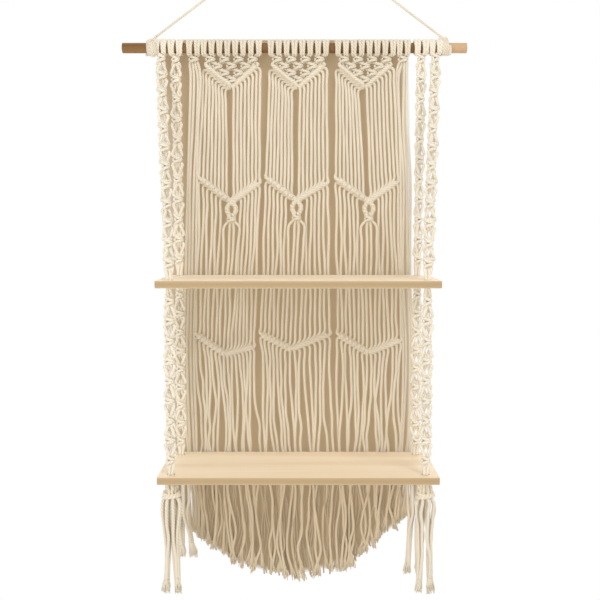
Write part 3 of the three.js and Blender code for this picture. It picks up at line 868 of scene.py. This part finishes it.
for count, (name, side, y, length, lean) in enumerate(TASSELS):
    rng = random.Random(TASSEL_SEED + count)
    top = Vector((side * HOLE_X, y, LOWER_TOP - THICKNESS))
    cords, fibres = [], []
    for i in range(TASSEL_STRANDS):
        angle = 2 * math.pi * i / TASSEL_STRANDS + TASSEL_START
        out = Vector((math.cos(angle) * TASSEL_WIDE, math.sin(angle), 0))
        route = [top + out * spread * MM
                 + Vector((rng.gauss(0, TASSEL_WANDER), rng.gauss(0, TASSEL_WANDER), -drop * MM))
                 for drop, spread in TASSEL_LEVELS]
        clump = Vector((TASSEL_CLUMP if out.x > 0 else -TASSEL_CLUMP, 0, 0)) + Vector((lean, 0, 0))
        foot = length - TASSEL_BRUSH - TASSEL_UNEVEN * abs(math.sin(TASSEL_WAVE * i))
        route += [top + clump * TASSEL_LOW_CLUMPED + out * TASSEL_LOW_OUT
                  + Vector((rng.gauss(0, TASSEL_LOW_WANDER), 0, TASSEL_LOW)),
                  top + clump + out * TASSEL_END_OUT + Vector((0, 0, -foot))]
        cords.append(strand(route, TASSEL_STRAND_RADIUS))
        fibres += frayed(route[-1], (route[-1] - route[-2]).normalized(), rng, FRAY_FIBRES, TASSEL_BRUSH,
                         TASSEL_SPREAD)
        if i % 2 == 0:
            inner = [top + out * spread + Vector((0, 0, -drop)) for drop, spread in INNER_LEVELS]
            inner += [top + clump * INNER_LOW_CLUMPED + out * INNER_LOW_OUT
                      + Vector((rng.gauss(0, TASSEL_LOW_WANDER), 0, TASSEL_LOW)),
                      top + clump + Vector((0, 0, -foot - INNER_LONGER))]
            cords.append(strand(inner, TASSEL_STRAND_RADIUS))
            fibres += frayed(inner[-1], (inner[-1] - inner[-2]).normalized(), rng, INNER_FIBRES,
                             INNER_BRUSH, INNER_SPREAD)
    for turn, (drop, radius, thickness) in enumerate(TASSEL_BAND):
        ring = [top + Vector((math.cos(a) * radius * BAND_WIDE, math.sin(a) * radius,
                              -drop + BAND_TILT * math.sin(a + BAND_TILT_STEP * turn))) * MM
                for a in (math.radians(30 * k + 100) for k in range(13))]
        cords.append(strand(ring, thickness * MM))
    dress(lay_cords("tied_" + name, cords + fibres), cotton, name)


# Ties. The ends of the hanging cord are wound three and a half times round the dowel. The left one is
# tied in a lump that droops in front of it, and the right one in a small knot on top with a short end.
TIE_X = 0.1879
TIE_TURNS = 1260
TIE_WIDTH = 0.0104
TIE_CORD_RADIUS = 0.0019
TIE_RISE = ((0.001, -0.004, 0.0078), (0.0028, 0, 0.0108))
TIE_RISE_RADIUS, TIE_RISE_STEP = 0.0018, 0.002
LUMP_LOOPS = ((4.4, 9.8, -10.5), (3.2, 8.4, -13.2), (0.9, 6.4, -15.0))
LUMP_IN = 0.001
LUMP_LEAN, LUMP_DROOP = 1.4, 1.8
LUMP_RADIUS = 0.0023
KNOT_PLACES = (-0.0062, -0.0002)
KNOT_TURN = 0.0018
KNOT_Y, KNOT_UP = -0.0015, 0.0112
SHORT_END = ((0.0045, -0.0085, 0.002), (0.0052, -0.0098, -0.004), (0.0036, -0.0100, -0.0105))
SHORT_END_RADIUS = 0.0016
for name, side in (("left", -1), ("right", 1)):
    wound = []
    for degrees in range(-90, TIE_TURNS - 90, 30):
        angle = math.radians(degrees)
        slide = (degrees / TIE_TURNS - 0.5) * TIE_WIDTH
        wound.append(Vector((side * TIE_X + slide, math.cos(angle) * WRAP_RADIUS,
                             DOWEL_Z + math.sin(angle) * WRAP_RADIUS)))
    rising = [Vector((side * (TIE_X - inwards), y, DOWEL_Z + up)) for inwards, y, up in TIE_RISE]
    rising.append(Vector((side * HALF_CORD[-1][0] * MM, 0, HALF_CORD[-1][1] * MM)))
    cords = [strand(wound, TIE_CORD_RADIUS), strand(rising, TIE_RISE_RADIUS, TIE_RISE_STEP)]
    if name == "left":
        for wide, high, forward in LUMP_LOOPS:
            ring = [Vector((
                side * (TIE_X - LUMP_IN) + (wide * math.cos(a) + LUMP_LEAN * (1 - math.sin(a))) * MM,
                forward * MM,
                DOWEL_Z + (high * math.sin(a) - LUMP_DROOP) * MM,
            )) for a in (math.radians(30 * k + 70) for k in range(13))]
            cords.append(strand(ring, LUMP_RADIUS))
    else:
        for place in KNOT_PLACES:
            turn = [Vector((side * TIE_X + place + KNOT_TURN * math.cos(a), KNOT_Y,
                            DOWEL_Z + KNOT_UP + KNOT_TURN * math.sin(a)))
                    for a in (math.radians(40 * k - 60) for k in range(10))]
            cords.append(strand(turn, TIE_RISE_RADIUS))
        short_end = [(side * TIE_X + out, y, DOWEL_Z + up) for out, y, up in SHORT_END]
        cords.append(strand(short_end, SHORT_END_RADIUS))
    dress(lay_cords("bound_tie_" + name, cords, TIE_CORD_RADIUS), cotton, "tie_" + name)


# Setting: a wall close behind the shelf, a pale floor, and studio light from the front, above and to the
# right. Within the shelf's outline the wall is painted tan with a dim tan glow, most where the shelf is
# close in front of it, as painted shade of the shelf; around that it glows evenly white. On the right the
# tan ends at the side strands. The wall can't be seen from behind, so that the back shows.
WALL_Y = 0.0122
WALL_HALF, WALL_TOP = 4, 3
WALL_ROUGHNESS = 0.9
PAINTED_SHADE_TAN = (0.62, 0.48, 0.31)
PAINTED_SHADE_GLOW = (0.40, 0.312, 0.198)
WALL_WHITE = (1, 1, 1)
PAINTED = 0.55
LEFT_EDGE = (UPPER_TOP, DOWEL_Z, 0.1735, 0.1800)
RIGHT_EDGE = (-0.545, -0.180, 0.1515, 0.1405)
NARROWER_BELOW = (-0.690, -0.682, 0.030, 0.0)
SIDE_FADE = (0.003, -0.009)
TOP_FADE = (-0.1325, -0.1345)
HEM_X = 0.012
HEM_Z = -0.840
HEM_CURVE = 3.35
HEM_FADE = 0.008
CLOSE_WITHIN = 0.10
CLOSE_FADE = (0.97, 0.68)
FLOOR_Z = -1.15
FLOOR_HALF = 6
FLOOR_ROUGHNESS = 0.8
FLOOR_PALE = (0.82, 0.80, 0.76, 1)
LIT = (0, 0, -0.45)
STUDIO_TINT = (1.0, 0.935, 0.84, 1)
STUDIO_STRENGTH = 0.64


def flat(name, corners):
    """A single face that looks the way its corners run anticlockwise."""
    work = bmesh.new()
    work.faces.new([work.verts.new(c) for c in corners])
    mesh = bpy.data.meshes.new(name)
    work.to_mesh(mesh)
    work.free()
    made = bpy.data.objects.new(name, mesh)
    bpy.context.scene.collection.objects.link(made)
    return made


wall = flat("wall", [(-WALL_HALF, WALL_Y, FLOOR_Z), (WALL_HALF, WALL_Y, FLOOR_Z),
                     (WALL_HALF, WALL_Y, WALL_TOP), (-WALL_HALF, WALL_Y, WALL_TOP)])
floor = flat("floor", [(-FLOOR_HALF, -FLOOR_HALF, FLOOR_Z), (FLOOR_HALF, -FLOOR_HALF, FLOOR_Z),
                       (FLOOR_HALF, FLOOR_HALF, FLOOR_Z), (-FLOOR_HALF, FLOOR_HALF, FLOOR_Z)])
paint, wall_tree, paint_shader = new_material("wall_paint", WALL_ROUGHNESS)
paint_shader.inputs["Base Color"].default_value = (*PAINTED_SHADE_TAN, 1)
wall_place = node(wall_tree, "ShaderNodeTexCoord").outputs["Object"]
wall_parts = node(wall_tree, "ShaderNodeSeparateXYZ", {0: wall_place}).outputs
wall_x, wall_z = wall_parts[0], wall_parts[2]
left_edge = maths(wall_tree, "SUBTRACT", ramp(wall_tree, wall_z, *LEFT_EDGE),
                  ramp(wall_tree, wall_z, *NARROWER_BELOW))
right_edge = maths(wall_tree, "MINIMUM", left_edge, ramp(wall_tree, wall_z, *RIGHT_EDGE))
past_left = maths(wall_tree, "SUBTRACT", maths(wall_tree, "MULTIPLY", wall_x, -1.0), left_edge)
past_right = maths(wall_tree, "SUBTRACT", wall_x, right_edge)
within = ramp(wall_tree, maths(wall_tree, "MAXIMUM", past_left, past_right), *SIDE_FADE)
below_dowel = ramp(wall_tree, wall_z, *TOP_FADE)
from_hem = maths(wall_tree, "ADD", wall_x, HEM_X)
bowl = maths(wall_tree, "MULTIPLY", from_hem, from_hem)
above_hem = ramp(wall_tree, maths(wall_tree, "MULTIPLY_ADD", bowl, -HEM_CURVE, wall_z), HEM_Z,
                 HEM_Z + HEM_FADE)
outlined = maths(wall_tree, "MULTIPLY", maths(wall_tree, "MULTIPLY", within, below_dowel), above_hem)
# Where the shelf is close in front of the wall, within its outline, the wall is painted tan and glows dim
# tan, as painted shade of the shelf.
enclosed = node(wall_tree, "ShaderNodeAmbientOcclusion", {"Distance": CLOSE_WITHIN}, samples=8)
wall_painted_shade = maths(wall_tree, "MULTIPLY", outlined, ramp(wall_tree, enclosed.outputs["AO"], *CLOSE_FADE))
glow = node(wall_tree, "ShaderNodeEmission",
            {"Color": mix(wall_tree, wall_painted_shade, WALL_WHITE, PAINTED_SHADE_GLOW), "Strength": 1.0})
surface = node(wall_tree, "ShaderNodeMixShader", {0: maths(wall_tree, "MULTIPLY", wall_painted_shade, PAINTED),
                                                  1: glow.outputs[0], 2: paint_shader.outputs[0]})
behind = node(wall_tree, "ShaderNodeNewGeometry").outputs["Backfacing"]
clear = node(wall_tree, "ShaderNodeBsdfTransparent")
either = node(wall_tree, "ShaderNodeMixShader", {0: behind, 1: surface.outputs[0], 2: clear.outputs[0]})
wall_tree.links.new(either.outputs[0], wall_tree.nodes["Material Output"].inputs["Surface"])
floor_paint, _, floor_shader = new_material("floor_paint", FLOOR_ROUGHNESS)
floor_shader.inputs["Base Color"].default_value = FLOOR_PALE
wall.data.materials.append(paint)
floor.data.materials.append(floor_paint)
wall.visible_shadow = False


def panel(name, place, size, watts, colour):
    """A square soft light that is turned towards the middle of the shelf."""
    light = bpy.data.lights.new(name, "AREA")
    light.size = size
    light.energy = watts
    light.color = colour
    lamp = bpy.data.objects.new(name, light)
    lamp.location = place
    lamp.rotation_euler = (Vector(LIT) - Vector(place)).to_track_quat("-Z", "Y").to_euler()
    bpy.context.scene.collection.objects.link(lamp)


panel("key", (1.0, -1.9, 1.25), 1.1, 22, (1.0, 0.985, 0.95))
panel("fill", (-1.3, -2.3, -0.40), 1.8, 21, (1.0, 0.965, 0.91))
panel("back_fill", (0.2, 2.0, -0.3), 1.8, 22, (1.0, 0.99, 0.97))
world = bpy.data.worlds.new("studio")
world.use_nodes = True
world.node_tree.nodes["Background"].inputs["Color"].default_value = STUDIO_TINT
world.node_tree.nodes["Background"].inputs["Strength"].default_value = STUDIO_STRENGTH
bpy.context.scene.world = world
bpy.context.scene.view_settings.view_transform = "Standard"
